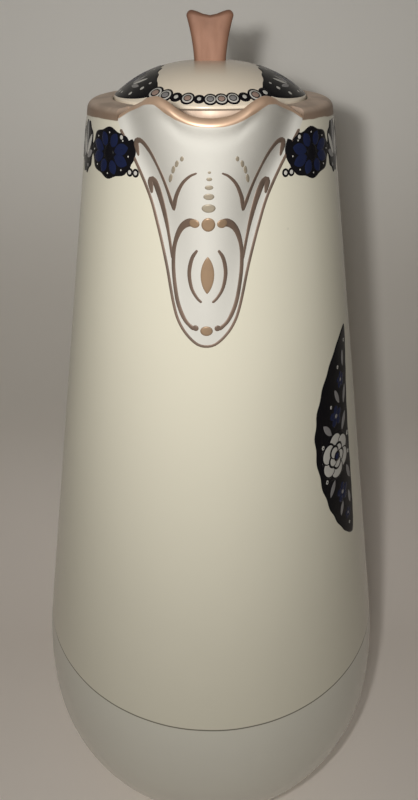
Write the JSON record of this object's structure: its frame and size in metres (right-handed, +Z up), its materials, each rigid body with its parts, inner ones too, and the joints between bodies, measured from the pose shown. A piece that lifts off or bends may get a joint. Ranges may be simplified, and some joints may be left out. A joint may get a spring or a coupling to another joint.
{
  "type": "chocolate pot",
  "caption": "Tall conical porcelain chocolate pot with a wavy-lipped beak spout, a loop handle at the back and a loose domed lid with a tab finial.",
  "frame": {"origin": "centre of the foot ring, on the surface that the pot stands on", "axes": "+Z up along the pot's axis; the spout points along -Y and the handle along +Y"},
  "size_m": [0.1152, 0.135, 0.2404],
  "materials": {
    "cream_glaze": "gloss",
    "white_glaze": "gloss",
    "gilding": "satin gilding"
  },
  "bodies": {
    "pot": {"pot_body": "cream_glaze", "spout": "white_glaze", "handle": "white_glaze"},
    "lid": {"lid": "cream_glaze", "finial": "gilding"}
  },
  "joints": [
    {"name": "lid_lift", "type": "slide", "parent": "pot", "child": "lid", "axis": [0, 0, 1], "range_m": [0, 0.06]}
  ]
}
